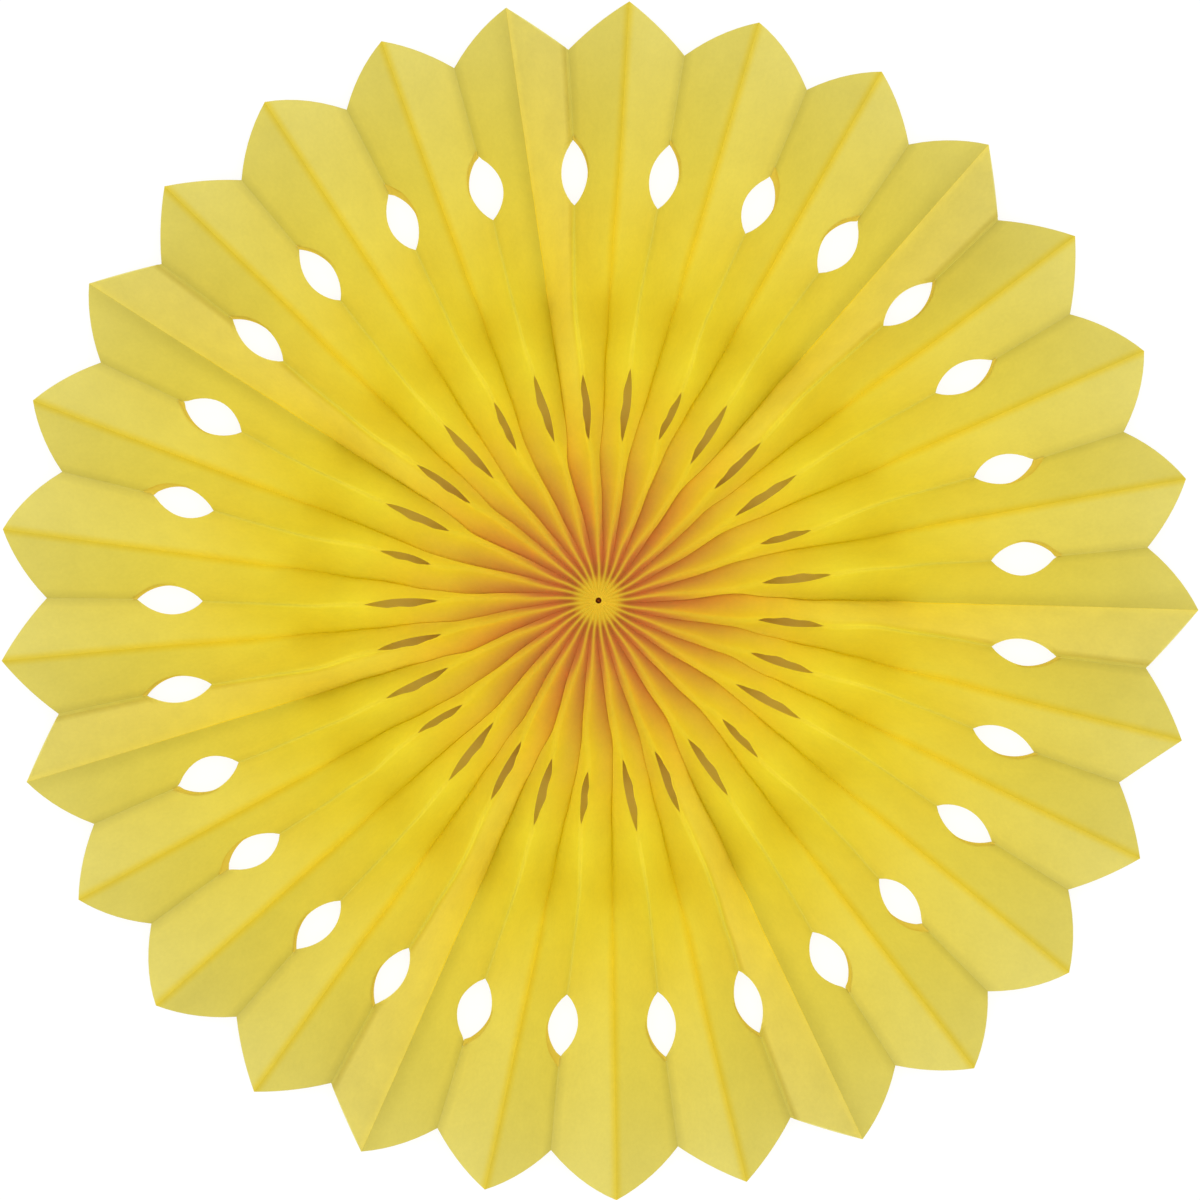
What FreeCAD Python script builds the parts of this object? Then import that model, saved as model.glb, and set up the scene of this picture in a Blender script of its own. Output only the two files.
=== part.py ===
# Pleated tissue fan medallion, lying on its back with the front up (+Z).
# Seven sheets of yellow tissue are pleated side by side, glued along one panel
# each and gathered at the eye by a thread, so that the pleats fan out to a disc
# of twenty-nine pointed petals. Every front fold carries a lens-shaped hole
# near the rim and a narrow slit near the middle, and ends in a notch of the rim.
# The origin is the middle of the underside, +Y is the top of the hung fan, and
# angles run clockwise from +Y as seen from the front. Lengths are millimetres.

import FreeCAD, Part
import Sketcher
import math
import os

from FreeCAD import Vector

doc = FreeCAD.newDocument("PaperFanMedallion")

# Driving sizes
sizes = doc.addObject("Spreadsheet::Sheet", "Sizes")

sizeRows = [
    ("tip_radius", 200.0, "middle of the fan to the point of a petal"),
    ("notch_depth", 16.4, "point of a petal down to the notch beside it"),
    ("petal_bulge", 1.75, "how far a petal's edge bows out of its chord"),
    ("first_petal_bulge", 1.05, "the same on the two edges beside a sheet's first point"),
    ("wide_petal_bulge", 2.2, "the same on the long edge of the widest petal"),
    ("pleat_depth_eye", 25.0, "height of a front fold above the back folds, at the eye"),
    ("pleat_depth_rim", 12.4, "the same where the front fold would meet the tip circle"),
    ("eye_radius", 1.5, "open middle that the pleats leave"),
    ("paper_thickness", 0.08, "thickness of the tissue as modelled"),
    ("glue_film", 0.05, "room for glue between a lap and the panel on it"),
    ("lap_start_radius", 25.0, "where a glue lap begins"),
    ("lap_edge_gap", 0.9, "a lap's free edge stops this far from the front fold, in plan"),
    ("thread_ring_radius", 5.0, "middle line of the gathering thread"),
    ("thread_diameter", 0.6, "gathering thread"),
    ("thread_clearance", 0.1, "needle hole round the thread, each side"),
    ("hole_radius", 142.8, "middle of the fan to the middle of a lens hole"),
    ("hole_length_1", 21.4, "lens hole on a sheet's first front fold, along the fold"),
    ("hole_length_2", 21.4, "second front fold"),
    ("hole_length_3", 22.6, "third front fold"),
    ("hole_length_4", 22.6, "fourth front fold"),
    ("hole_width_1", 9.0, "lens hole on a sheet's first front fold, across it"),
    ("hole_width_2", 9.6, "second front fold"),
    ("hole_width_3", 9.9, "third front fold"),
    ("hole_width_4", 11.0, "fourth front fold"),
    ("slit_radius", 65.3, "middle of the fan to the middle of a slit"),
    ("slit_length_1", 22.0, "slit on a sheet's first front fold, along the fold"),
    ("slit_length_2", 24.6, "second front fold"),
    ("slit_length_3", 18.0, "third front fold"),
    ("slit_length_4", 23.2, "fourth front fold"),
    ("slit_width", 2.9, "slit, across the fold"),
    ("petal_share_first", 11.7, "a sheet's first petal, as a share of the sheet's turn"),
    ("petal_share_second", 12.55, "second petal"),
    ("petal_share_third", 12.95, "third petal"),
    ("petal_share_fourth", 12.2, "fourth petal"),
    ("petal_share_extra", 12.2, "the petal that the five-petal sheet has before the others"),
    ("sheet_share_1", 49.42, "first sheet, as a share of the whole turn"),
    ("sheet_share_2", 50.36, "second sheet"),
    ("sheet_share_3", 62.97, "third sheet, which has the extra petal"),
    ("sheet_share_4", 49.41, "fourth sheet"),
    ("sheet_share_5", 49.09, "fifth sheet"),
    ("sheet_share_6", 49.5, "sixth sheet"),
    ("sheet_share_7", 49.25, "seventh sheet"),
    ("first_seam_angle", 351.13, "degrees from the top to the seam before the first sheet"),
]
for row, (alias, value, note) in enumerate(sizeRows, start=1):
    sizes.set("A%d" % row, note)
    sizes.set("B%d" % row, str(value))
    sizes.setAlias("B%d" % row, alias)
doc.recompute()


def size(alias):
    return float(sizes.get(alias))


tipRadius = size("tip_radius")
notchRadius = tipRadius - size("notch_depth")
eyeRadius = size("eye_radius")
depthEye = size("pleat_depth_eye")
depthRim = size("pleat_depth_rim")
paper = size("paper_thickness")
glue = size("glue_film")
lapStart = size("lap_start_radius")
lapGap = size("lap_edge_gap")
half = paper / 2.0

sheetCount = 7
extraPetalSheet = 3
petalCount = 4 * sheetCount + 1
cutterFloor = -5.0
cutterRoom = 15.0
cutterHeight = depthEye + cutterRoom


# Fold angles. Each sheet has a share of the turn, and each petal a share of
# its sheet. Back folds lie at the petals' points, front folds midway between.
petalShares = [
    size("petal_share_first"),
    size("petal_share_second"),
    size("petal_share_third"),
    size("petal_share_fourth"),
]
sheetShares = [size("sheet_share_%d" % number) for number in range(1, sheetCount + 1)]
turnScale = 360.0 / sum(sheetShares)

sheetValleys = []
sheetPatterns = []
seamAngle = size("first_seam_angle")
for number in range(1, sheetCount + 1):
    shares = list(petalShares)
    pattern = [1, 2, 3, 4]
    if number == extraPetalSheet:
        shares.insert(0, size("petal_share_extra"))
        pattern.insert(0, 1)
    span = sheetShares[number - 1] * turnScale
    valleys = [seamAngle]
    for share in shares:
        valleys.append(valleys[-1] + span * share / sum(shares))
    sheetValleys.append(valleys)
    sheetPatterns.append(pattern)
    seamAngle = valleys[-1]


def midAngle(first, second):
    return (first + second) / 2.0


def polar(radius, angle, height=0.0):
    turn = math.radians(angle)
    return Vector(radius * math.sin(turn), radius * math.cos(turn), height)


# Height of a front fold over the back folds. It falls from the eye to the rim
# as an ellipse does, which keeps the panels about equally wide all the way.
def foldDepth(radius):
    fall = (depthEye ** 2 - depthRim ** 2) * (radius / tipRadius) ** 2
    return math.sqrt(depthEye ** 2 - fall)


# Stations along the folds, closer together at the eye, where the panels stand
# nearly upright and lie against each other
eyeStations = [eyeRadius * ratio for ratio in (1.0, 2.0, 4.0)]
bodyStations = [lapStart * ratio for ratio in (0.5, 1.0)]
reach = tipRadius + 2.0 - lapStart
rimStations = [lapStart + reach * ratio for ratio in (0.2, 0.42, 0.63, 0.82, 1.0)]
stations = eyeStations + bodyStations + rimStations


# The two panels beside a fold, seen along the fold: each has a direction that
# its front faces, as sideways and upward parts
def panelFacing(radius, lowAngle, highAngle):
    sideways = 2.0 * radius * math.sin(math.radians(abs(highAngle - lowAngle)) / 2.0)
    upward = foldDepth(radius)
    width = math.hypot(sideways, upward)
    lean = -upward / width if highAngle > lowAngle else upward / width
    return lean, sideways / width


def crossing(left, leftOffset, right, rightOffset):
    # where two offset panels meet beside the fold line
    area = left[0] * right[1] - left[1] * right[0]
    side = (leftOffset * right[1] - rightOffset * left[1]) / area
    rise = (left[0] * rightOffset - right[0] * leftOffset) / area
    return side, rise


def beside(radius, angle, height, side, rise):
    turn = math.radians(angle)
    along = Vector(math.cos(turn), -math.sin(turn), 0.0)
    return polar(radius, angle, height) + along * side + Vector(0, 0, rise)


# The panel that lies on a neighbour's lap is lifted by paper and glue, and
# comes down to the common level towards the eye, where there is no lap
def liftAt(radius):
    low = lapStart * 0.4
    part = min(max((radius - low) / (lapStart * 0.9 - low), 0.0), 1.0)
    return (paper + glue) * part


# One cross-section of a sheet at one radius. Each fold gives one inner corner
# and two outer ones. Out to the start of the lap the outer ones make the small
# flat of a pressed crease, and past it they meet in one sharp edge. The ends
# give a front and a back corner. The back folds lie on the ground plane.
def sheetSection(radius, folds, before):
    pressed = radius < lapStart * 1.01
    slope = panelFacing(radius, 0.0, 180.0 / petalCount)[1]
    lowZ = half * slope if pressed else half / slope
    highZ = lowZ + foldDepth(radius)
    lift = liftAt(radius)
    facings = []
    for (angleA, ridgeA), (angleB, ridgeB) in zip(folds, folds[1:]):
        if ridgeB:
            facings.append(panelFacing(radius, angleA, angleB))
        else:
            facings.append(panelFacing(radius, angleB, angleA))
    lifts = [lift] + [0.0] * (len(facings) - 1)
    corners = []

    # first edge: cut, laid in the back fold of the sheet before
    facingBefore = panelFacing(radius, folds[0][0], before)
    side, rise = crossing(facingBefore, half + glue, facings[0], lift + half)
    front = beside(radius, folds[0][0], lowZ, side, rise)
    back = beside(radius, folds[0][0], lowZ,
                  side - paper * facings[0][0], rise - paper * facings[0][1])
    corners.append((front, back))

    for index in range(1, len(folds) - 1):
        angle, ridge = folds[index]
        left, right = facings[index - 1], facings[index]
        leftLift, rightLift = lifts[index - 1], lifts[index]
        base = highZ if ridge else lowZ
        sign = 1.0 if ridge else -1.0
        inner = crossing(left, leftLift - sign * half, right, rightLift - sign * half)
        middle = crossing(left, leftLift, right, rightLift)
        outerLeft = (middle[0] + sign * half * left[0], middle[1] + sign * half * left[1])
        outerRight = (middle[0] + sign * half * right[0], middle[1] + sign * half * right[1])
        if not pressed:
            outerLeft = crossing(left, leftLift + sign * half, right, rightLift + sign * half)
            outerRight = outerLeft
        corners.append([beside(radius, angle, base, *spot)
                        for spot in (inner, outerLeft, outerRight)])

    # last edge: the lap, up to the next sheet's front fold
    lean, rise = facings[-1]
    front = beside(radius, folds[-1][0], highZ, lean * half, rise * half)
    back = beside(radius, folds[-1][0], highZ, -lean * half, -rise * half)
    corners.append((front, back))
    return corners


def leftEdge(corners, index, folds):
    # front and back corner where panel number index begins
    if index == 0:
        return corners[0]
    inner, outerLeft, outerRight = corners[index]
    return (outerRight, inner) if folds[index][1] else (inner, outerRight)


def rightEdge(corners, index, folds):
    # front and back corner where panel number index ends
    if index + 1 == len(folds) - 1:
        return corners[-1]
    inner, outerLeft, outerRight = corners[index + 1]
    return (outerLeft, inner) if folds[index + 1][1] else (inner, outerLeft)


def addTriangle(faces, a, b, c):
    # corners that fall together leave no face
    if min((a - b).Length, (b - c).Length, (c - a).Length) > 1e-6:
        faces.append(Part.Face(Part.makePolygon([a, b, c, a])))


def pleatedBlank(folds, before):
    # The folded sheet before its edge and holes are cut
    sections = [sheetSection(radius, folds, before) for radius in stations]
    faces = []

    def strip(a, b, c, d, flip):
        # a, b on one station and d, c on the next
        if flip:
            addTriangle(faces, a, b, d)
            addTriangle(faces, b, c, d)
        else:
            addTriangle(faces, a, b, c)
            addTriangle(faces, a, c, d)

    for near, far in zip(sections, sections[1:]):
        for index in range(len(folds) - 1):
            rising = folds[index + 1][1]
            nearLeft, nearRight = leftEdge(near, index, folds), rightEdge(near, index, folds)
            farLeft, farRight = leftEdge(far, index, folds), rightEdge(far, index, folds)
            for layer in (0, 1):
                strip(nearLeft[layer], nearRight[layer], farRight[layer], farLeft[layer], not rising)
        for index in range(1, len(folds) - 1):
            strip(near[index][1], near[index][2], far[index][2], far[index][1], False)
        for edge in (0, -1):
            strip(near[edge][0], near[edge][1], far[edge][1], far[edge][0], False)
    for section in (sections[0], sections[-1]):
        for index in range(len(folds) - 1):
            left, right = leftEdge(section, index, folds), rightEdge(section, index, folds)
            addTriangle(faces, left[0], right[0], right[1])
            addTriangle(faces, left[0], right[1], left[1])
        for index in range(1, len(folds) - 1):
            addTriangle(faces, *section[index])
    shell = Part.makeShell(faces)
    shell.sewShape()
    solid = Part.makeSolid(shell)
    if solid.Volume < 0:
        solid.reverse()
    return solid


# Cutters that follow the sheet of sizes, each drawn on the fan's +Y line as a
# sketch and padded upward: a lens hole or a slit for each front fold of a sheet
def planeOf(body, role):
    for feature in body.Origin.OriginFeatures:
        if feature.Role == role:
            return feature


def lensCutter(name, lengthAlias, widthAlias, radiusAlias, chords):
    body = doc.addObject("PartDesign::Body", name)
    sketch = body.newObject("Sketcher::SketchObject", name + "_outline")
    sketch.AttachmentSupport = [(planeOf(body, "XY_Plane"), "")]
    sketch.MapMode = "FlatFace"
    length, width, radius = size(lengthAlias), size(widthAlias), size(radiusAlias)
    # each side is a run of chords from the near point to the far one and back
    steps = [index / chords for index in range(chords)]
    spots = [(4.0 * step * (1.0 - step), step) for step in steps]
    spots += [(-4.0 * step * (1.0 - step), 1.0 - step) for step in steps]
    corners = [Vector(width / 2.0 * across, radius + length * (along - 0.5), 0)
               for across, along in spots]
    for start, end in zip(corners, corners[1:] + corners[:1]):
        sketch.addGeometry(Part.LineSegment(start, end), False)
    for index, (across, along) in enumerate(spots):
        sketch.addConstraint(Sketcher.Constraint("Coincident", index - 1 if index else len(spots) - 1, 2,
                                                 index, 1))
        if across == 0.0:
            sketch.addConstraint(Sketcher.Constraint("PointOnObject", index, 1, -2))
        else:
            row = sketch.addConstraint(
                Sketcher.Constraint("DistanceX", -1, 1, index, 1, corners[index].x))
            sketch.setExpression("Constraints[%d]" % row,
                                 "Sizes.%s / 2 * %r" % (widthAlias, across))
        row = sketch.addConstraint(
            Sketcher.Constraint("DistanceY", -1, 1, index, 1, corners[index].y))
        sketch.setExpression("Constraints[%d]" % row,
                             "Sizes.%s + Sizes.%s * (%r)" % (radiusAlias, lengthAlias, along - 0.5))
    pad = body.newObject("PartDesign::Pad", name + "_pad")
    pad.Profile = sketch
    pad.setExpression("Length", "Sizes.pleat_depth_eye + %r" % cutterRoom)
    body.Placement = FreeCAD.Placement(Vector(0, 0, cutterFloor), FreeCAD.Rotation())
    return body


holeCutters = {}
slitCutters = {}
for place in (1, 2, 3, 4):
    holeCutters[place] = lensCutter("hole_cutter_%d" % place, "hole_length_%d" % place,
                                    "hole_width_%d" % place, "hole_radius", 8)
    slitCutters[place] = lensCutter("slit_cutter_%d" % place, "slit_length_%d" % place,
                                    "slit_width", "slit_radius", 4)

# A ring about the fan's axis with a polygon for its section, at half the pleats' depth
def polygonRing(name, sides, radiusExpression):
    profile = doc.addObject("Part::RegularPolygon", name + "_profile")
    profile.Polygon = sides
    profile.setExpression("Circumradius", radiusExpression)
    profile.Placement = FreeCAD.Placement(Vector(0, 0, 0), FreeCAD.Rotation(Vector(1, 0, 0), 90))
    profile.setExpression("Placement.Base.x", "Sizes.thread_ring_radius")
    profile.setExpression("Placement.Base.z", "Sizes.pleat_depth_eye / 2")
    ring = doc.addObject("Part::Revolution", name)
    ring.Source = profile
    ring.Axis = Vector(0, 0, 1)
    ring.Base = Vector(0, 0, 0)
    ring.Angle = 360.0
    ring.Solid = True
    ring.Label = name
    return ring


# The gathering thread runs in a closed loop through every panel, in needle holes
thread = polygonRing("centre_thread", 6, "Sizes.thread_diameter / 2")

# A square bar that punches the needle hole of one panel, drawn on the +Y line
needleBar = doc.addObject("Part::Box", "needle_bar")
needleBar.setExpression("Length", "Sizes.thread_ring_radius * %r" % (math.pi / petalCount * 0.7))
needleBar.setExpression("Width", "Sizes.thread_diameter + 2 * Sizes.thread_clearance")
needleBar.setExpression("Height", "Sizes.thread_diameter + 2 * Sizes.thread_clearance")
needleBar.setExpression("Placement.Base.x", "-Length / 2")
needleBar.setExpression(
    "Placement.Base.y",
    "Sizes.thread_ring_radius - Sizes.thread_diameter / 2 - Sizes.thread_clearance")
needleBar.setExpression(
    "Placement.Base.z",
    "(Sizes.pleat_depth_eye - Sizes.thread_diameter) / 2 - Sizes.thread_clearance")
doc.recompute()


def turned(shape, angle):
    copy = shape.copy()
    copy.rotate(Vector(0, 0, 0), Vector(0, 0, 1), -angle)
    return copy


def bowed(start, end, bulge, chords):
    # points of an edge that bows away from the middle of the fan, without its end
    chord = end - start
    away = Vector(-chord.y, chord.x, 0).normalize()
    if away.dot(start + end) < 0:
        away = away * -1.0
    if bulge == 0.0:
        return [start]
    shares = [index / chords for index in range(chords)]
    return [start + chord * share + away * (4.0 * bulge * share * (1.0 - share))
            for share in shares]


def upright(corners):
    return Part.Face(Part.makePolygon(corners + corners[:1])).extrude(Vector(0, 0, cutterHeight))


def rimCutter(tipBefore, tipAfter, firstBulge, secondBulge):
    # what the scissors take off between two points of the rim
    notch = polar(notchRadius, midAngle(tipBefore, tipAfter), cutterFloor)
    before = polar(tipRadius, tipBefore, cutterFloor)
    after = polar(tipRadius, tipAfter, cutterFloor)
    corners = bowed(before, notch, firstBulge, 4) + bowed(notch, after, secondBulge, 4)
    corners += [after, polar(tipRadius + 12.0, tipAfter, cutterFloor)]
    corners += [polar(tipRadius + 12.0, tipBefore, cutterFloor)]
    return upright(corners)


def lapEndCutter(seam, pastLap):
    # clears the lap away near the eye
    return upright([Vector(0, 0, cutterFloor), polar(lapStart, seam, cutterFloor),
                    polar(lapStart, pastLap, cutterFloor)])


def lapEdgeCutter(ridge):
    # keeps the lap's free edge short of the next sheet's front fold
    turn = math.radians(ridge)
    along = Vector(math.cos(turn), -math.sin(turn), 0.0)
    near, far = polar(lapStart * 0.5, ridge, cutterFloor), polar(tipRadius + 6.0, ridge, cutterFloor)
    return upright([near - along * lapGap, far - along * lapGap, far + along * 2.0,
                    near + along * 2.0])


# How far the rim bows before and after each notch of a sheet. The edge that
# begins at a seam is cut straight.
edgeBulges = {
    1: (0.0, size("first_petal_bulge")),
    2: (size("first_petal_bulge"), size("petal_bulge")),
    3: (size("wide_petal_bulge"), size("petal_bulge")),
    4: (size("petal_bulge"), size("petal_bulge")),
}

nodes = [thread]
for number in range(1, sheetCount + 1):
    valleys = sheetValleys[number - 1]
    pattern = sheetPatterns[number - 1]
    nextValleys = sheetValleys[number % sheetCount]
    lastValleys = sheetValleys[number - 2]
    nextPetal = nextValleys[1] - nextValleys[0]
    lastPetal = lastValleys[-1] - lastValleys[-2]

    folds = [(valleys[0], False)]
    for tipBefore, tipAfter in zip(valleys, valleys[1:]):
        folds.append((midAngle(tipBefore, tipAfter), True))
        folds.append((tipAfter, False))
    folds.append((valleys[-1] + nextPetal / 2.0, True))
    before = valleys[0] - lastPetal / 2.0

    blank = doc.addObject("Part::Feature", "sheet_%d_blank" % number)
    blank.Shape = pleatedBlank(folds, before)

    cuts = []
    tips = valleys + [valleys[-1] + nextPetal]
    places = pattern + [1]
    for tipBefore, tipAfter, place in zip(tips, tips[1:], places):
        ridge = midAngle(tipBefore, tipAfter)
        cuts.append(rimCutter(tipBefore, tipAfter, *edgeBulges[place]))
        cuts.append(turned(holeCutters[place].Shape, ridge))
        cuts.append(turned(slitCutters[place].Shape, ridge))
    cuts.append(rimCutter(valleys[0] - lastPetal, valleys[0], *edgeBulges[4]))
    cuts.append(lapEndCutter(valleys[-1], valleys[-1] + nextPetal))
    cuts.append(lapEdgeCutter(folds[-1][0]))
    for (angleA, ridgeA), (angleB, ridgeB) in zip(folds[:-1], folds[1:-1]):
        cuts.append(turned(needleBar.Shape, midAngle(angleA, angleB)))
    waste = doc.addObject("Part::Feature", "sheet_%d_waste" % number)
    waste.Shape = cuts[0].multiFuse(cuts[1:])

    sheet = doc.addObject("Part::Feature", "tissue_sheet_%d" % number)
    sheet.Label = "tissue_sheet_%d" % number
    sheet.Shape = blank.Shape.cut(waste.Shape).Solids[0]
    sheet.Placement = FreeCAD.Placement(Vector(0, 0, 0), FreeCAD.Rotation())
    nodes.append(sheet)

doc.recompute()

# Nothing is written unless every object computed and every node is one sound solid
for item in doc.Objects:
    if "Invalid" in item.State or "Error" in item.State:
        raise RuntimeError("%s did not compute" % item.Label)
for node in nodes:
    if node.Shape.isNull() or not node.Shape.isValid():
        raise RuntimeError("%s has no valid shape" % node.Label)
    print(node.Label, "solids", len(node.Shape.Solids), "volume", round(node.Shape.Volume, 2))

os.makedirs("parts", exist_ok=True)
for node in nodes:
    node.Shape.exportStep("parts/%s.step" % node.Label)
print("written", len(nodes), "parts")
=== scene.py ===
# Looks of a pleated yellow tissue fan that lies on its back, seen from above.
# Each fold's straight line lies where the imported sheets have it, and each fold
# drifts off that line here. The holes and slits lie within 2 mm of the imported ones.
# Lengths are millimetres until a point is placed, and angles are degrees that run
# clockwise from +Y as seen from the front.

import math

import bmesh
import bpy
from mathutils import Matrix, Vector, noise


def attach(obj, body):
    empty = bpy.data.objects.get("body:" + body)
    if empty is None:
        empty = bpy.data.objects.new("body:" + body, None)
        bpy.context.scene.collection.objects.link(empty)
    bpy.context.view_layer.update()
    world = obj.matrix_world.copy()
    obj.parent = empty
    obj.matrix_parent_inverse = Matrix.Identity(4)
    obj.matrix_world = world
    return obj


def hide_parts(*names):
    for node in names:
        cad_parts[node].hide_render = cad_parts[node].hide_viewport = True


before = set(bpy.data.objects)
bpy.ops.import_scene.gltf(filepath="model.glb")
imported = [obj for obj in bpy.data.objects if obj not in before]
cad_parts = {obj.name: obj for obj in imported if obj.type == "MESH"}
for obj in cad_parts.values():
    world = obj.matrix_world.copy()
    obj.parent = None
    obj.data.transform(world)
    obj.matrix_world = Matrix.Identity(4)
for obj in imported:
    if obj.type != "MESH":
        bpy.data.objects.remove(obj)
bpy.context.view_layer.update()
mm = 0.001
mapScale = 0.01  # map units for each mm
print("frame loaded")

fan = {
    "tipRadius": 200.0,
    "notchRadius": 183.3,
    "depthEye": 25.0,
    "depthRim": 12.4,
    "firstSeam": 351.13,  # degrees
    "sheetShares": (49.42, 50.36, 62.97, 49.41, 49.09, 49.5, 49.25),  # of the whole turn
    "petalShares": (11.7, 12.55, 12.95, 12.2),  # of its sheet
    "extraShare": 12.2,  # the petal that sheet 3 has before the others
    "extraSheet": 3,
    "paper": 0.08,
    "glue": 0.05,
    "lapEdgeGap": 0.9,  # a lap's free edge stops this far from the front fold
    "lapReach": 2.0,  # a lap is down at the glue's depth this far from the back fold
    "edgeReach": 1.5,  # a first panel's cut edge is bent aside within this distance
    "edgeLift": 0.1,
    "edgeShift": 0.12,
    "crestShare": 0.8,  # at most this share of a panel's width is rounded
    "leanAngle": 44.0,  # degrees, slope of a panel's upper part where the pleats crowd
    "kneeShare": 0.98,  # share of the panel's width at which it drops to the back fold
    "slack": 0.35,  # how far the panels bulge where the paper hangs loose
    "slackSize": 17.0,
    "wander": 0.42,  # how far a fold strays sideways in its soft part
    "wanderSize": 11.0,
    "tuckedShare": 0.35,  # share of its half width that a hole loses at its turned-in end
    "slitRipple": 0.16,  # share of its half width by which one edge of a slit waves
    "rippleRadians": 17.0,  # turn of that wave from end to end
    "sharpAngle": 38.0,  # degrees, bends above this are drawn as edges
    "weldGap": 0.002,
}

# Radii at which a fold's drift is set: clockwise degrees off its straight line
driftRadii = (1.5, 6, 11, 15, 20, 30, 45, 55, 65, 78, 95, 118, 143, 200)
ridgeDrift = {
    1: (5.0, 5.0, 4.0, 2.8, 2.3, 1.6, 0.8, -0.4, -0.6, -0.9, -1.5, -0.9, -0.2, -0.1),
    2: (5.0, 5.0, 4.0, 2.8, 1.7, 1.1, 0.5, -0.7, -1.1, -1.3, -1.4, -0.8, -0.3, -0.1),
    3: (5.0, 4.4, 3.4, 2.1, 1.2, 0.9, 0.6, -1.2, -0.6, -0.2, -0.9, -0.4, 0.2, 0.35),
    4: (5.0, 4.0, 2.4, 0.7, 0.2, 0.3, 0.4, -0.7, -1.0, -1.1, -1.2, -0.8, -0.3, -0.2),
}
valleyDrift = {
    0: (5.0, 4.4, 3.1, 1.6, -0.3, -2.1, -3.8, -2.2, -1.4, -1.1, -0.8, -0.5, -0.3, 0.0),
    1: (5.0, 5.0, 4.2, 3.0, 1.3, -0.5, -2.4, -1.6, -1.3, -1.1, -0.75, -0.55, -0.1, 0.12),
    2: (5.0, 5.0, 3.8, 2.5, 0.3, -1.65, -3.6, -3.0, -2.1, -1.5, -0.85, -0.5, -0.2, 0.15),
    3: (5.0, 4.6, 2.7, 1.2, -0.6, -2.5, -4.1, -4.0, -3.2, -2.2, -1.5, -1.1, -0.7, -0.17),
}

# Cuts on the front folds, by the fold's place in its sheet: middle radius, length, width
cuts = {
    "hole": {1: (143.1, 23.4, 8.9), 2: (143.1, 23.4, 9.6), 3: (143.4, 24.4, 9.9), 4: (142.9, 23.8, 11.2)},
    "slit": {1: (64.3, 22.0, 2.8), 2: (65.5, 24.6, 2.9), 3: (65.6, 17.6, 2.4), 4: (66.1, 23.2, 2.8)},
}

# The paper turned in at the outer end of each hole: on which panel it hangs (1 for
# the rising one) and the share of the hole's length at which the opening ends
turnedIn = {1: (-1, 0.92), 2: (-1, 0.92), 3: (-1, 0.84), 4: (1, 0.9)}

# How far each edge of the rim bows out of its chord, before and after the notch
rimBow = {1: (0.0, 1.0), 2: (1.05, 1.8), 3: (2.2, 1.85), 4: (1.6, 1.75)}
lapBow = 0.45

# Roundness of the front folds at each radius, as a bending radius
crestRadii = (1.5, 12, 25, 35, 45, 60, 80, 110, 140, 165, 200)
crestBend = (0.6, 0.6, 0.7, 1.1, 1.6, 1.5, 1.0, 0.6, 0.4, 0.3, 0.3)

# How far from a front fold its own colour reaches, beside the groove's colour, which is painted shade
# near the eye and painted light from 50 to 80 mm
toneRadii = (1.5, 14, 32, 50, 65, 80, 110, 140, 200)
toneReach = (0.5, 0.55, 2.6, 4.9, 3.0, 0.7, 0.45, 0.45, 0.45)

# Rows of each panel from the eye to the rim. The bands begin at set radii on the
# back fold, and on the front fold at the ends of its slit and hole.
bandEdges = (1.0, 6.0, 12.0, 25.0, 45.0, 54.0, 76.0, 100.0, 132.0, 154.0)
bandRows = (3, 4, 8, 9, 4, 13, 8, 10, 15, 14)
cutBands = {5: "slit", 8: "hole"}
rimBand = len(bandEdges) - 1
rimBandLength = 30.0  # about, for a width that is needed before the point's radius is known
lapFirstBand = 3
flankColumns = 7
crestColumns = 5

# Where the painted shade line along a back fold doesn't show, the map begins this far from it, past its
# whole width
shadeLineClear = 3.0


def ramp(value, zeroAt, oneAt):
    # rises smoothly from 0 to 1 between two values, of which either may be the larger
    share = min(max((value - zeroAt) / (oneAt - zeroAt), 0.0), 1.0)
    return share * share * (3.0 - 2.0 * share)


def along(radii, values, radius):
    # smooth curve through values that are set at a few radii
    last = len(radii) - 1
    for near in range(last):
        far = near + 1
        if radius <= radii[far] or far == last:
            break
    before, after = max(near - 1, 0), min(far + 1, last)
    span = radii[far] - radii[near]
    share = min(max((radius - radii[near]) / span, 0.0), 1.0)
    nearSlope = (values[far] - values[before]) / (radii[far] - radii[before]) * span
    farSlope = (values[after] - values[near]) / (radii[after] - radii[near]) * span
    square, cube = share * share, share * share * share
    return (values[near] * (2 * cube - 3 * square + 1) + nearSlope * (cube - 2 * square + share)
            + values[far] * (3 * square - 2 * cube) + farSlope * (cube - square))


def foldDepth(radius):
    fall = (fan["depthEye"] ** 2 - fan["depthRim"] ** 2) * (radius / fan["tipRadius"]) ** 2
    return math.sqrt(fan["depthEye"] ** 2 - fall)


def foldAngle(fold, radius):
    # a fold is its straight line's angle and its drift values
    angle, drift = fold
    inTheSoftPart = ramp(radius, 8.0, 33.0) * ramp(radius, 150.0, 90.0)
    seed = round(angle % 360.0, 2)
    spot = Vector((radius / fan["wanderSize"], seed * 3.7, 4.0))  # another one for each fold
    wander = noise.noise(spot) * fan["wander"] * inTheSoftPart
    return angle + along(driftRadii, drift, radius) + math.degrees(wander / radius)


def leafHalf(width, share):
    # half the width of a leaf shape at a share of its length
    share = min(max(share, 0.0), 1.0)
    return width / 2.0 * (4.0 * share * (1.0 - share)) ** 0.85


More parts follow.
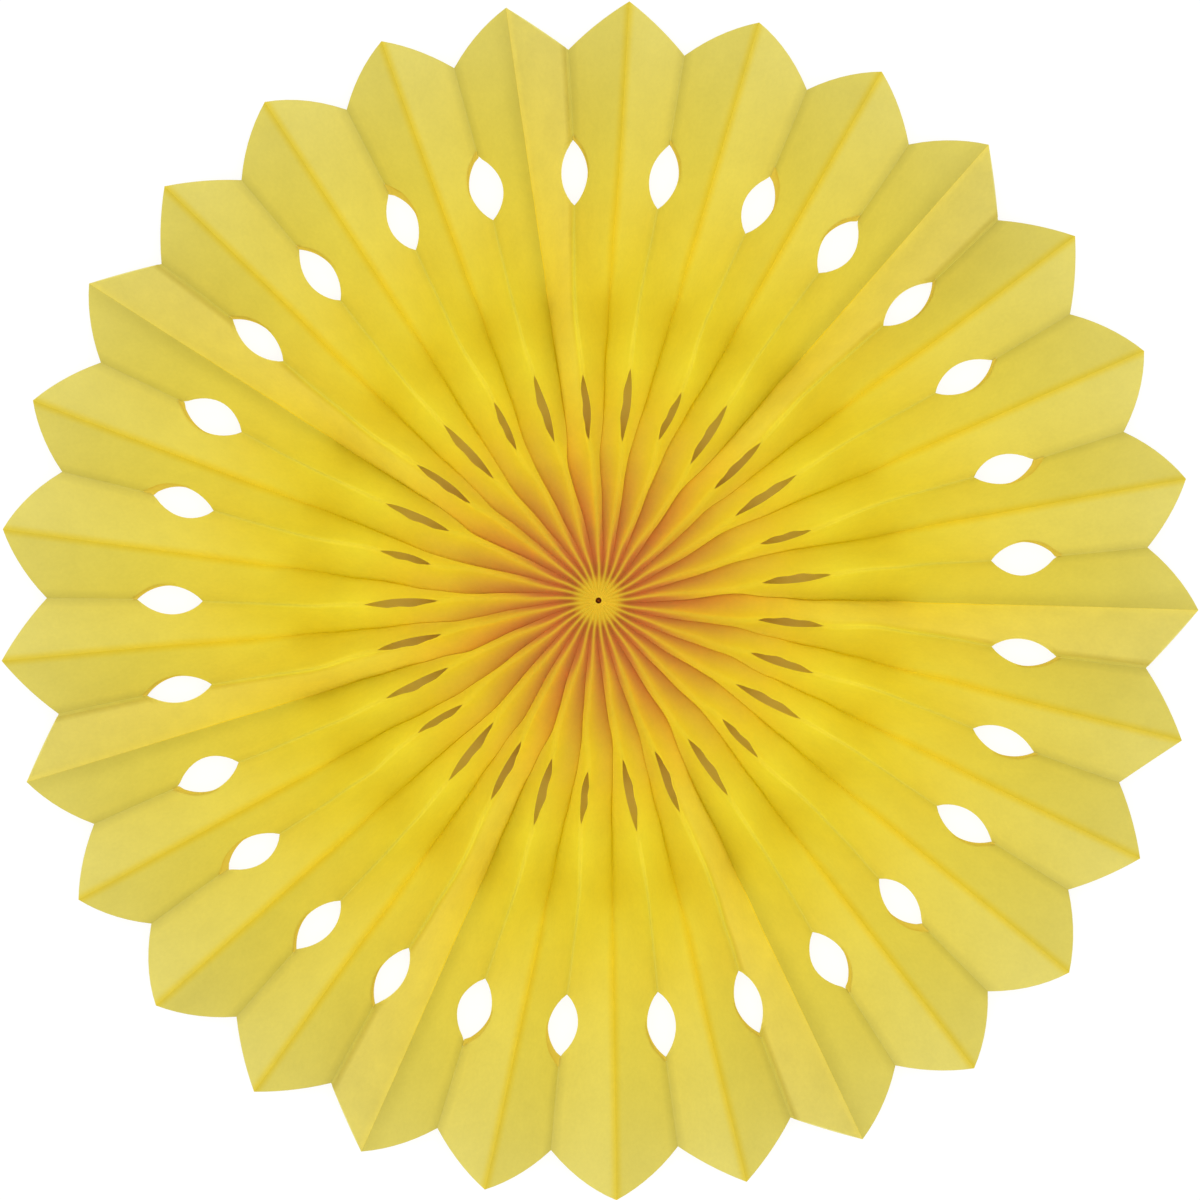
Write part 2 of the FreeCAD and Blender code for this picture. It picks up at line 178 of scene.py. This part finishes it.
def cutHalfWidth(kind, place, share, side):
    # half the opening at a share of its length, 0 at the near point and 1 at the far one
    width = cuts[kind][place][2]
    half = leafHalf(width, share)
    if kind == "hole":
        if side == turnedIn[place][0]:
            # the turned-in paper narrows the outer end
            return half * (1.0 - fan["tuckedShare"] * ramp(share, 0.8, 0.98))
        return leafHalf(width, share / turnedIn[place][1])
    if side > 0:
        half *= 1.0 + fan["slitRipple"] * math.sin(share * fan["rippleRadians"] + place)
    return half


def chordRadius(share, tipAngle, notchAngle, tipRadius, notchRadius):
    # radius of the straight cut from a notch (share 0) to a point (share 1)
    turn = math.radians(abs(tipAngle - notchAngle))
    return (tipRadius * notchRadius * math.sin(turn)
            / (notchRadius * math.sin(turn * share) + tipRadius * math.sin(turn * (1.0 - share))))


def rowSpots():
    # for each row, the band that it lies in and its share of that band
    spots = [(0, 0.0)]
    for band, rows in enumerate(bandRows):
        spots += [(band, (row + 1) / rows) for row in range(rows)]
    return spots


def bandRadius(band, place, backShare):
    # edge number `band` at a share of the way from the front fold to the back fold
    onBack = bandEdges[band]
    onFront = onBack
    for first, kind in cutBands.items():
        middle, length = cuts[kind][place][:2]
        if band == first:
            onFront = middle - length / 2.0
        if band == first + 1:
            onFront = middle + length / 2.0
    return onBack * backShare + onFront * (1.0 - backShare)


def crowding(radius):
    # 1 where the gathered pleats press on each other, 0 where they lie open
    return ramp(radius, 125.0, 50.0)


def surfaceHeight(distance, width, radius):
    # height of a panel at a distance in plan from its front fold: a rounded crest,
    # then a flank down to the back fold. Where the pleats crowd, the flank leans
    # until a knee beside the back fold and drops steeply from there.
    depth = foldDepth(radius)
    crowd = crowding(radius)
    slope = math.atan2(depth, width)
    slope += (min(math.radians(fan["leanAngle"]), slope) - slope) * crowd
    crest = along(crestRadii, crestBend, radius)
    crest = min(crest, fan["crestShare"] * width / math.sin(slope))
    touch = crest * math.sin(slope)
    if distance < touch:
        return depth - crest + math.sqrt(crest ** 2 - distance ** 2)
    top = depth - crest * (1.0 - math.cos(slope))
    straight = top * (1.0 - (distance - touch) / (width - touch))
    knee = fan["kneeShare"] * width
    leaning = top - (min(distance, knee) - touch) * math.tan(slope)
    if distance > knee:
        leaning *= (width - distance) / (width - knee)
    return straight + (leaning - straight) * crowd


def finishFaces(bm, verts, layers, tones, places, flipped):
    # gives the faces of a new grid their colour and map values, and their front
    faces = list({face for vert in verts for face in vert.link_faces})
    for face in faces:
        for loop in face.loops:
            loop[layers["tone"]] = tones[loop.vert]
            loop[layers["map"]].uv = places[loop.vert]
    if flipped:
        bmesh.ops.reverse_faces(bm, faces=faces)


def addPanel(bm, layers, panel):
    # One panel between a back and a front fold: a grid whose columns run from the
    # back fold to the front one and whose rows run outwards
    valley, ridge, place = panel["valley"], panel["ridge"], panel["place"]
    side = 1 if panel["rising"] else -1
    spots = [spot for spot in rowSpots() if spot[0] >= panel["firstBand"]]
    if panel["firstBand"] > 0:
        spots = [(panel["firstBand"], 0.0)] + spots
    columns = flankColumns + crestColumns
    made = bmesh.ops.create_grid(bm, x_segments=columns, y_segments=len(spots) - 1, size=0.5)
    tones = {}
    places = {}
    for vert in made["verts"]:
        column = round((vert.co.x + 0.5) * columns)
        band, share = spots[round((vert.co.y + 0.5) * (len(spots) - 1))]

        # plan distance from the front fold, as a share of the panel's width at this row
        bandLength = bandEdges[band + 1] - bandEdges[band] if band < rimBand else rimBandLength
        guess = bandEdges[band] + share * bandLength
        width = abs(foldAngle(ridge, guess) - foldAngle(valley, guess)) * math.pi / 180.0 * guess
        nearest = panel["edgeGap"]
        if band in cutBands:
            nearest = max(nearest, cutHalfWidth(cutBands[band], place, share, side))
        crestWidth = min(along(crestRadii, crestBend, guess), fan["crestShare"] * width)
        turnOver = max(crestWidth, nearest)
        knee = width + (turnOver - width) / flankColumns
        knee += (fan["kneeShare"] * width - knee) * crowding(guess)
        if column == 0:
            distance = width
        elif column <= flankColumns:
            distance = knee + (turnOver - knee) * (column - 1) / (flankColumns - 1)
        else:
            distance = turnOver + (nearest - turnOver) * (column - flankColumns) / crestColumns
        backShare = min(distance / width, 1.0)

        # radius of this point, on rows that turn from round to the rim's outline
        inner = bandRadius(band, place, backShare)
        if band < rimBand:
            outer = bandRadius(band + 1, place, backShare)
        else:
            outer = chordRadius(backShare, valley[0], ridge[0], fan["tipRadius"], fan["notchRadius"])
            outer += panel["bow"] * 4.0 * backShare * (1.0 - backShare)
        radius = inner + (outer - inner) * share

        ridgeAngle, valleyAngle = foldAngle(ridge, radius), foldAngle(valley, radius)
        width = abs(ridgeAngle - valleyAngle) * math.pi / 180.0 * radius
        distance = backShare * width
        height = surfaceHeight(distance, width, radius)
        slope = math.atan2(foldDepth(radius), width)
        shift = 0.0

        fromBack = width - distance
        fromBackFold = math.hypot(fromBack, height)
        if panel["lap"]:
            # the glued lap lies under the next sheet's first panel
            drop = (fan["paper"] + fan["glue"]) * ramp(fromBackFold, 0.0, fan["lapReach"])
            shift = drop * math.sin(slope)
            height -= drop * math.cos(slope)
        if panel["first"]:
            # the first panel's cut edge lies in the back fold of the sheet before
            rise = ramp(fromBackFold, fan["edgeReach"], 0.0)
            height += fan["edgeLift"] * rise
            shift = fan["edgeShift"] * rise

        angle = ridgeAngle + (valleyAngle - ridgeAngle) * backShare + math.degrees(shift / radius)
        turn = math.radians(angle)
        x, y = radius * math.sin(turn), radius * math.cos(turn)
        loose = ramp(radius, 30.0, 90.0) * math.sin(math.pi * min(fromBack / width, 1.0))
        bulge = noise.noise(Vector((x / fan["slackSize"], y / fan["slackSize"], 2.0)))
        height += fan["slack"] * loose * bulge
        vert.co = Vector((x, y, height)) * mm
        tones[vert] = foldPaintedLight(panel, radius, distance, width)
        # the painted shade line along a back fold shows only where the pleats are open, and not at a
        # seam, where the next sheet's cut edge lies
        atSeam = panel["first"] or panel["beforeSeam"]
        shown = 0.0 if atSeam else ramp(radius, 85.0, 115.0)
        places[vert] = ((fromBack + shadeLineClear * (1.0 - shown)) * mapScale, 0.0)
    finishFaces(bm, made["verts"], layers, tones, places, not panel["rising"])


# Numbers of the painted light and shade on the panels. Painted shadows lie on falling panels, in the
# corner at the back fold.
toning = {
    "crestPaintedShade": 0.2,
    "risingPaintedLight": 0.16,
    "doublePaleAndPaintedLight": 0.75,
    "fallingPaintedShade": (0.01, 0.04),  # everywhere, and more of it away from the middle
    "shadowDark": {1: 0.0, 2: 0.01, 3: 0.05, 4: 0.16},  # by the petal's place
    "shadow": (2.6, 175.0),  # width and the radius where it ends
    "seamShadow": (3.6, 225.0),
}


def foldPaintedLight(panel, radius, distance, width):
    # red: the distance from the eye, which the dye and its painted light follow; green: 0 on a front
    # fold, 1 in the groove beside it, whose colour is painted shade near the eye and painted light
    # further out; blue: the painted light and shade of this panel; alpha: the share of the paler tone,
    # painted light on rising panels, and most of it where the paper lies double over a glued lap, partly
    # paler for real and partly painted light
    fromBack = width - distance
    reach = along(toneRadii, toneReach, radius)
    outer = ramp(radius, 84.0, 104.0)
    if not panel["rising"]:
        reach = min(reach, 0.5 + 4.4 * ramp(radius, 18.0, 48.0))
    crest = math.exp(-(distance / reach) ** 2)
    # painted shade on a front fold where the pleats are open, against the fold's highlight
    light = 1.0 - toning["crestPaintedShade"] * crest * outer
    pale = 0.0
    # painted light: rising panels are paler towards the rim
    if panel["rising"]:
        pale = toning["risingPaintedLight"] * ramp(radius, 110.0, 150.0)
    # where the paper lies double it is paler, partly for real and partly painted light
    if panel["first"] or panel["lap"]:
        pale = toning["doublePaleAndPaintedLight"] * ramp(radius, 50.0, 85.0) * ramp(distance, 0.4, 2.0)
    # painted shade over each falling panel and a painted shadow beside its back fold
    if not panel["rising"]:
        shadowWidth, shadowEnd = toning["seamShadow" if panel["beforeSeam"] else "shadow"]
        paintedShadowBesideFold = math.exp(-(fromBack / shadowWidth) ** 2) * ramp(radius, 45.0, 70.0)
        paintedShadowBesideFold *= ramp(radius, shadowEnd, shadowEnd - 60.0)
        everywhere, farther = toning["fallingPaintedShade"]
        light -= everywhere + farther * ramp(radius, 70.0, 120.0)
        light -= paintedShadowBesideFold * toning["shadowDark"][panel["place"]]
        # painted light on the falling panel of the first petal, from 70 to 150 mm
        if panel["place"] == 1:
            light += 0.04 * ramp(radius, 70.0, 100.0) * ramp(radius, 150.0, 110.0)
    return (radius / fan["tipRadius"], (1.0 - crest) * (1.0 - outer), light, pale)


# The grid of a turned-in strip, in shares of the hole's length and in mm
strip = {"rows": 12, "columns": 5, "begin": 0.4, "end": 0.995, "tuck": 0.4, "below": 0.2}


def addTurnedIn(bm, layers, panel):
    # The strip of paper turned in at the outer end of a hole, just under the panels
    valley, ridge, place = panel["valley"], panel["ridge"], panel["place"]
    middle, length, holeWidth = cuts["hole"][place]
    side, openEnd = turnedIn[place]
    tuck = strip["tuck"]
    made = bmesh.ops.create_grid(bm, x_segments=strip["columns"], y_segments=strip["rows"], size=0.5)
    tones = {}
    places = {}
    for vert in made["verts"]:
        share = strip["begin"] + (strip["end"] - strip["begin"]) * (vert.co.y + 0.5)
        outer = cutHalfWidth("hole", place, share, side) + tuck
        inner = leafHalf(holeWidth, share / openEnd) - tuck * ramp(share, openEnd - 0.02, openEnd)
        across = -side * (inner + (outer - inner) * (vert.co.x + 0.5))
        radius = middle + length * (share - 0.5)
        ridgeAngle = foldAngle(ridge, radius)
        width = abs(ridgeAngle - foldAngle(valley, radius)) * math.pi / 180.0 * radius
        turn = math.radians(ridgeAngle) + across / radius
        height = surfaceHeight(abs(across), width, radius) - strip["below"]
        vert.co = Vector((radius * math.sin(turn), radius * math.cos(turn), height)) * mm
        # the strip takes the groove's colour: painted shade, darker and more orange than the panels
        tones[vert] = (radius / fan["tipRadius"], 1.0, 1.0, 0.0)
        # one spot of the map, far from any painted shade line
        places[vert] = (20.0 * mapScale, 20.0 * mapScale)
    finishFaces(bm, made["verts"], layers, tones, places, side > 0)


def sheetFolds():
    # fold angles from the shares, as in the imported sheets
    turnScale = 360.0 / sum(fan["sheetShares"])
    sheets = []
    seam = fan["firstSeam"]
    for number, share in enumerate(fan["sheetShares"], start=1):
        shares, pattern, valleyKinds = list(fan["petalShares"]), [1, 2, 3, 4], [0, 1, 2, 3, 0]
        if number == fan["extraSheet"]:
            shares.insert(0, fan["extraShare"])
            pattern.insert(0, 1)
            valleyKinds.insert(1, 1)
        valleys = [seam]
        for petal in shares:
            valleys.append(valleys[-1] + share * turnScale * petal / sum(shares))
        sheets.append((valleys, pattern, valleyKinds))
        seam = valleys[-1]
    return sheets


def panelsOf(sheets, number):
    valleys, pattern, valleyKinds = sheets[number - 1]
    nextValleys = sheets[number % len(sheets)][0]
    nextPetal = nextValleys[1] - nextValleys[0]
    plain = {"firstBand": 0, "edgeGap": 0.0, "lap": False, "first": False, "beforeSeam": False}
    panels = []
    for index, place in enumerate(pattern):
        ridge = ((valleys[index] + valleys[index + 1]) / 2.0, ridgeDrift[place])
        before = (valleys[index], valleyDrift[valleyKinds[index]])
        after = (valleys[index + 1], valleyDrift[valleyKinds[index + 1]])
        panels.append({**plain, "valley": before, "ridge": ridge, "place": place, "rising": True,
                       "first": index == 0, "bow": rimBow[place][0]})
        panels.append({**plain, "valley": after, "ridge": ridge, "place": place, "rising": False,
                       "beforeSeam": index == len(pattern) - 1, "bow": rimBow[place][1]})
    lapRidge = (valleys[-1] + nextPetal / 2.0, ridgeDrift[1])
    panels.append({**plain, "valley": (valleys[-1], valleyDrift[0]), "ridge": lapRidge, "place": 1,
                   "rising": True, "bow": lapBow, "lap": True, "firstBand": lapFirstBand,
                   "edgeGap": fan["lapEdgeGap"]})
    return panels


def finishSheet(bm, name, material):
    # gives the surface its thickness and keeps the pressed folds and cut edges crisp
    mesh = bpy.data.meshes.new(name)
    bm.to_mesh(mesh)
    bm.free()
    piece = bpy.data.objects.new(name, mesh)
    bpy.context.scene.collection.objects.link(piece)
    thick = piece.modifiers.new("thickness", "SOLIDIFY")
    thick.thickness = fan["paper"] * mm
    thick.offset = 0.0
    thick.use_even_offset = False
    graph = bpy.context.evaluated_depsgraph_get()
    solid = bpy.data.meshes.new_from_object(piece.evaluated_get(graph), depsgraph=graph)
    piece.modifiers.clear()
    piece.data = solid
    bpy.data.meshes.remove(mesh)
    solid.name = name
    solid.polygons.foreach_set("use_smooth", [True] * len(solid.polygons))
    solid.set_sharp_from_angle(angle=math.radians(fan["sharpAngle"]))
    solid.materials.append(material)
    return piece


def linear(hexColour):
    # an sRGB hex colour as linear red, green, blue and alpha
    channels = [int(hexColour[place:place + 2], 16) / 255.0 for place in (1, 3, 5)]
    return tuple(channel / 12.92 if channel <= 0.04045 else ((channel + 0.055) / 1.055) ** 2.4
                 for channel in channels) + (1.0,)


def addNode(tree, kind, settings=None, links=None):
    node = tree.nodes.new(kind)
    for name, value in (settings or {}).items():
        if isinstance(name, str) and hasattr(node, name):
            setattr(node, name, value)
        else:
            node.inputs[name].default_value = value
    for name, source in (links or {}).items():
        tree.links.new(source, node.inputs[name])
    return node


def emptyMaterial(name):
    material = bpy.data.materials.new(name)
    material.use_nodes = True
    material.node_tree.nodes.clear()
    return material, material.node_tree


# Dyed wrapping tissue, calendered on one side: matt, soft, and it lets most of
# the light through, so the dye looks deeper where light has crossed it often.
# Short fibres gather in small clouds.
tissue = {
    # distance from the eye in mm, and the dye there with painted light and shade: on a front fold, in a
    # groove, and where the paper lies double. The grooves' colour is painted shade near the eye, painted
    # light from 50 to 80 mm, and painted shade on the turned-in strips from 142 to 158 mm. The colours
    # are brighter where the steep pleats lie in shade and paler towards the rim, both painted light. The
    # double column is partly the paper's own paler look and partly painted light, and rising panels take
    # it as painted light.
    "dyeAndPaintedLight": (
        (6.0, "#FCE23C", "#FCE23C", "#FFF670"),
        (9.0, "#FFE23A", "#DC9040", "#FFF670"),
        (15.0, "#FFD840", "#EA964C", "#FFF670"),
        (32.0, "#FADC38", "#F2BE58", "#FFF670"),
        (50.0, "#F8E634", "#FEE658", "#FFF670"),
        (65.0, "#F8E63A", "#FEEE46", "#FFF670"),
        (80.0, "#F1E240", "#FAF050", "#FFF674"),
        (104.0, "#F5E84C", "#F5E84C", "#FFF57C"),
        (128.0, "#EFDE50", "#EFDE50", "#FCF388"),
        (142.0, "#EBDB54", "#E0C64A", "#F8EF8C"),
        (158.0, "#E5D65A", "#E0C64A", "#F5EC90"),
        (188.0, "#DED064", "#DED064", "#EEE694"),
    ),
    "crease": "#FFF4A0",
    "creaseWidth": 2.6,
    "creaseStrength": 0.9,
    "fibreSize": 1.4,  # mm, drawn a little coarser than real fibres so that it shows
    "fibreHeight": 0.06,
    "cloudSize": 9.0,
    "mottle": {1: 0.1, 2: 0.94},  # how much fibres and clouds vary the colour, and from what
    "throughLight": 0.65,
}


def dyedTissue():
    material, tree = emptyMaterial("dyedTissue")
    tone = addNode(tree, "ShaderNodeAttribute", {"attribute_name": "foldPaintedLight"})
    parts = addNode(tree, "ShaderNodeSeparateColor", links={"Color": tone.outputs["Color"]})
    panelMap = addNode(tree, "ShaderNodeUVMap", {"uv_map": "panelMap"})
    across = addNode(tree, "ShaderNodeSeparateXYZ", links={"Vector": panelMap.outputs["UV"]})
    place = addNode(tree, "ShaderNodeTexCoord")

    fibres = addNode(tree, "ShaderNodeTexNoise",
                     {"Scale": 1.0 / (tissue["fibreSize"] * mm), "Detail": 3.0, "Roughness": 0.6},
                     {"Vector": place.outputs["Object"]})
    clouds = addNode(tree, "ShaderNodeTexNoise",
                     {"Scale": 1.0 / (tissue["cloudSize"] * mm), "Detail": 2.0},
                     {"Vector": place.outputs["Object"]})
    dyesAndPaintedLight = []
    for column in (1, 2, 3):
        byRadius = addNode(tree, "ShaderNodeValToRGB", {}, {"Fac": parts.outputs["Red"]})
        stops = byRadius.color_ramp.elements
        for index, row in enumerate(tissue["dyeAndPaintedLight"]):
            position = row[0] / fan["tipRadius"]
            stop = stops[index] if index < 2 else stops.new(position)
            stop.position = position
            stop.color = linear(row[column])
        dyesAndPaintedLight.append(byRadius.outputs["Color"])
    # the groove's colour beside each front fold is painted shade near the eye and painted light further
    # out
    dyeAndPaintedLight = addNode(tree, "ShaderNodeMix", {"data_type": "RGBA"},
                  {0: parts.outputs["Green"], 6: dyesAndPaintedLight[0], 7: dyesAndPaintedLight[1]})
    # painted shade along each back fold, by the distance in the map
    line = addNode(tree, "ShaderNodeMapRange",
                   {"interpolation_type": "SMOOTHSTEP", "From Min": 0.0,
                    "From Max": tissue["creaseWidth"] * mapScale,
                    "To Min": tissue["creaseStrength"], "To Max": 0.0},
                   {"Value": across.outputs["X"]})
    # paler colour where the paper lies double, partly for real and partly painted light, and painted
    # light on rising panels
    doubledAndPaintedLight = addNode(tree, "ShaderNodeMix", {"data_type": "RGBA"},
                      {0: tone.outputs["Alpha"], 6: dyeAndPaintedLight.outputs[2], 7: dyesAndPaintedLight[2]})
    creased = addNode(tree, "ShaderNodeMix",
                      {"data_type": "RGBA", "blend_type": "MULTIPLY", 7: linear(tissue["crease"])},
                      {0: line.outputs["Result"], 6: doubledAndPaintedLight.outputs[2]})
    mottle = addNode(tree, "ShaderNodeMath", {"operation": "MULTIPLY_ADD", **tissue["mottle"]},
                     {0: fibres.outputs["Fac"]})
    cloud = addNode(tree, "ShaderNodeMath", {"operation": "MULTIPLY_ADD", **tissue["mottle"]},
                    {0: clouds.outputs["Fac"]})
    speckle = addNode(tree, "ShaderNodeMath", {"operation": "MULTIPLY"},
                      {0: mottle.outputs["Value"], 1: cloud.outputs["Value"]})
    # the panels' painted light and shade scale the colour's value
    value = addNode(tree, "ShaderNodeMath", {"operation": "MULTIPLY"},
                    {0: speckle.outputs["Value"], 1: parts.outputs["Blue"]})
    colour = addNode(tree, "ShaderNodeHueSaturation", {},
                     {"Value": value.outputs["Value"], "Color": creased.outputs[2]})
    bump = addNode(tree, "ShaderNodeBump",
                   {"Strength": 0.25, "Distance": tissue["fibreHeight"] * mm},
                   {"Height": fibres.outputs["Fac"]})
    paperSkin = addNode(tree, "ShaderNodeBsdfPrincipled",
                        {"Roughness": 0.72, "IOR": 1.45, "Specular IOR Level": 0.25},
                        {"Base Color": colour.outputs["Color"], "Normal": bump.outputs["Normal"]})
    through = addNode(tree, "ShaderNodeBsdfTranslucent", {}, {"Color": colour.outputs["Color"]})
    both = addNode(tree, "ShaderNodeMixShader", {0: tissue["throughLight"]},
                   {1: paperSkin.outputs["BSDF"], 2: through.outputs["BSDF"]})
    # light that has entered one face of the paper leaves by the other, scattered once
    geometry = addNode(tree, "ShaderNodeNewGeometry")
    clear = addNode(tree, "ShaderNodeBsdfTransparent")
    sheetShader = addNode(tree, "ShaderNodeMixShader", {},
                          {0: geometry.outputs["Backfacing"], 1: both.outputs["Shader"],
                           2: clear.outputs["BSDF"]})
    addNode(tree, "ShaderNodeOutputMaterial", {}, {"Surface": sheetShader.outputs["Shader"]})
    return material


# Two-ply sewing thread: cotton, dull, the twist showing as slanting bands. The bands
# turn by one radian in twistRadian mm, and a wave texture by 20 in each 1 / scale.
thread = {"colour": "#DDBE4A", "shade": "#B08D2C", "twistRadian": 0.9, "waveRadians": 20.0}


def twistedThread():
    material, tree = emptyMaterial("twistedThread")
    place = addNode(tree, "ShaderNodeTexCoord")
    twist = addNode(tree, "ShaderNodeTexWave",
                    {"Scale": 1.0 / (thread["twistRadian"] * mm) / thread["waveRadians"],
                     "Distortion": 0.6},
                    {"Vector": place.outputs["Object"]})
    colour = addNode(tree, "ShaderNodeMix", {"data_type": "RGBA", 6: linear(thread["shade"]),
                                             7: linear(thread["colour"])}, {0: twist.outputs["Fac"]})
    cotton = addNode(tree, "ShaderNodeBsdfPrincipled", {"Roughness": 0.85},
                     {"Base Color": colour.outputs[2]})
    addNode(tree, "ShaderNodeOutputMaterial", {}, {"Surface": cotton.outputs["BSDF"]})
    return material


tissueMaterial = dyedTissue()
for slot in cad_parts["centre_thread"].material_slots:
    slot.material = twistedThread()
print("materials made")

sheets = sheetFolds()
for number in range(1, len(sheets) + 1):
    bm = bmesh.new()
    layers = {"tone": bm.loops.layers.float_color.new("foldPaintedLight"),
              "map": bm.loops.layers.uv.new("panelMap")}
    for panel in panelsOf(sheets, number):
        addPanel(bm, layers, panel)
        if panel["rising"] and not panel["lap"]:
            addTurnedIn(bm, layers, panel)
    bmesh.ops.remove_doubles(bm, verts=bm.verts, dist=fan["weldGap"] * mm)
    bmesh.ops.dissolve_degenerate(bm, edges=bm.edges, dist=fan["weldGap"] * mm)
    sheet = finishSheet(bm, "pleatedTissue%d" % number, tissueMaterial)
    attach(sheet, "root")
    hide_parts("tissue_sheet_%d" % number)
    print("sheet", number, "faces", len(sheet.data.polygons))

# Stage: a pale floor, a lamp overhead, soft light from all round and the camera. The
# floor's size, the lamp and the camera's height are in metres.
stage = {
    "floorSize": 6.0,
    "floorDrop": 0.03,
    "floorColour": "#F8F8F6",
    "whiteShare": 0.88,  # how white the floor looks from the camera
    # painted shade: inside shadeEdge the camera sees the floor tan through the slits, and red under the
    # eye, as the shade under the fan's middle
    "shadeEdge": (100.0, 110.0),  # a tan floor shows through the slits, and red in the eye
    "shadeColour": "#C5B165",
    "eyeEdge": (3.0, 4.0),
    "eyeShadeColour": "#FF9C62",
    "cameraHeight": 5.0,
    "frameWidth": 400.0,
    "frameMiddle": (0.5, 0.17),  # mm, the photograph's middle lies beside the fan's
    "lampHeight": 2.2,
    "lampSize": 1.1,
    "lampPower": 36.0,
    "worldLight": 0.74,
}


def floorPaint():
    material, tree = emptyMaterial("paleFloor")
    place = addNode(tree, "ShaderNodeTexCoord")
    fromMiddle = addNode(tree, "ShaderNodeVectorMath", {"operation": "LENGTH"},
                         {0: place.outputs["Object"]})
    outside = addNode(tree, "ShaderNodeMapRange",
                      {"From Min": stage["shadeEdge"][0] * mm, "From Max": stage["shadeEdge"][1] * mm},
                      {"Value": fromMiddle.outputs["Value"]})
    path = addNode(tree, "ShaderNodeLightPath")
    direct = addNode(tree, "ShaderNodeMath", {"operation": "MAXIMUM"},
                     {0: path.outputs["Is Camera Ray"], 1: path.outputs["Is Glossy Ray"]})
    visible = addNode(tree, "ShaderNodeMath", {"operation": "MAXIMUM"},
                      {0: direct.outputs["Value"], 1: path.outputs["Is Transmission Ray"]})
    inside = addNode(tree, "ShaderNodeMath", {"operation": "SUBTRACT", 0: 1.0},
                     {1: outside.outputs["Result"]})
    # painted shade: under the fan's middle the camera sees a tan floor, red under the eye
    shaded = addNode(tree, "ShaderNodeMath", {"operation": "MULTIPLY"},
                     {0: path.outputs["Is Camera Ray"], 1: inside.outputs["Value"]})
    underEye = addNode(tree, "ShaderNodeMapRange",
                       {"From Min": stage["eyeEdge"][0] * mm, "From Max": stage["eyeEdge"][1] * mm,
                        "To Min": 1.0, "To Max": 0.0},
                       {"Value": fromMiddle.outputs["Value"]})
    shade = addNode(tree, "ShaderNodeMix", {"data_type": "RGBA", 6: linear(stage["shadeColour"]),
                                            7: linear(stage["eyeShadeColour"])},
                    {0: underEye.outputs["Result"]})
    colour = addNode(tree, "ShaderNodeMix", {"data_type": "RGBA", 6: linear(stage["floorColour"])},
                     {0: shaded.outputs["Value"], 7: shade.outputs[2]})
    plain = addNode(tree, "ShaderNodeBsdfDiffuse", {}, {"Color": colour.outputs[2]})
    white = addNode(tree, "ShaderNodeEmission", {"Color": (1, 1, 1, 1), "Strength": 1.0})
    around = addNode(tree, "ShaderNodeMath", {"operation": "MULTIPLY"},
                     {0: visible.outputs["Value"], 1: outside.outputs["Result"]})
    # the rest of the mix is plain, so that the floor keeps the fan's shadow
    whiteShare = addNode(tree, "ShaderNodeMath", {"operation": "MULTIPLY", 1: stage["whiteShare"]},
                         {0: around.outputs["Value"]})
    floor = addNode(tree, "ShaderNodeMixShader", {},
                    {0: whiteShare.outputs["Value"], 1: plain.outputs["BSDF"],
                     2: white.outputs["Emission"]})
    addNode(tree, "ShaderNodeOutputMaterial", {}, {"Surface": floor.outputs["Shader"]})
    return material


def makeStage():
    bm = bmesh.new()
    bmesh.ops.create_grid(bm, x_segments=1, y_segments=1, size=stage["floorSize"] / 2.0)
    bmesh.ops.translate(bm, verts=bm.verts, vec=(0, 0, -stage["floorDrop"] * mm))
    mesh = bpy.data.meshes.new("floor")
    bm.to_mesh(mesh)
    bm.free()
    mesh.materials.append(floorPaint())
    floor = bpy.data.objects.new("floor", mesh)
    bpy.context.scene.collection.objects.link(floor)

    lamp = bpy.data.lights.new("overheadLamp", "AREA")
    lamp.shape = "DISK"
    lamp.size = stage["lampSize"]
    lamp.energy = stage["lampPower"]
    lampObject = bpy.data.objects.new("overheadLamp", lamp)
    lampObject.location = (0, 0, stage["lampHeight"])
    bpy.context.scene.collection.objects.link(lampObject)

    world = bpy.data.worlds.new("softRoom")
    bpy.context.scene.world = world
    world.use_nodes = True
    tree = world.node_tree
    tree.nodes.clear()
    path = addNode(tree, "ShaderNodeLightPath")
    strength = addNode(tree, "ShaderNodeMapRange", {"To Min": stage["worldLight"], "To Max": 1.0},
                       {"Value": path.outputs["Is Camera Ray"]})
    room = addNode(tree, "ShaderNodeBackground", {"Color": (1, 1, 1, 1)},
                   {"Strength": strength.outputs["Result"]})
    addNode(tree, "ShaderNodeOutputWorld", {}, {"Surface": room.outputs["Background"]})

    camera = bpy.data.cameras.new("camera")
    camera.sensor_width = 36.0
    camera.lens = camera.sensor_width * stage["cameraHeight"] / (stage["frameWidth"] * mm)
    cameraObject = bpy.data.objects.new("camera", camera)
    cameraObject.location = (stage["frameMiddle"][0] * mm, stage["frameMiddle"][1] * mm,
                             stage["cameraHeight"])
    bpy.context.scene.collection.objects.link(cameraObject)
    bpy.context.scene.camera = cameraObject


makeStage()
bpy.context.scene.view_settings.view_transform = "Standard"
print("stage made")
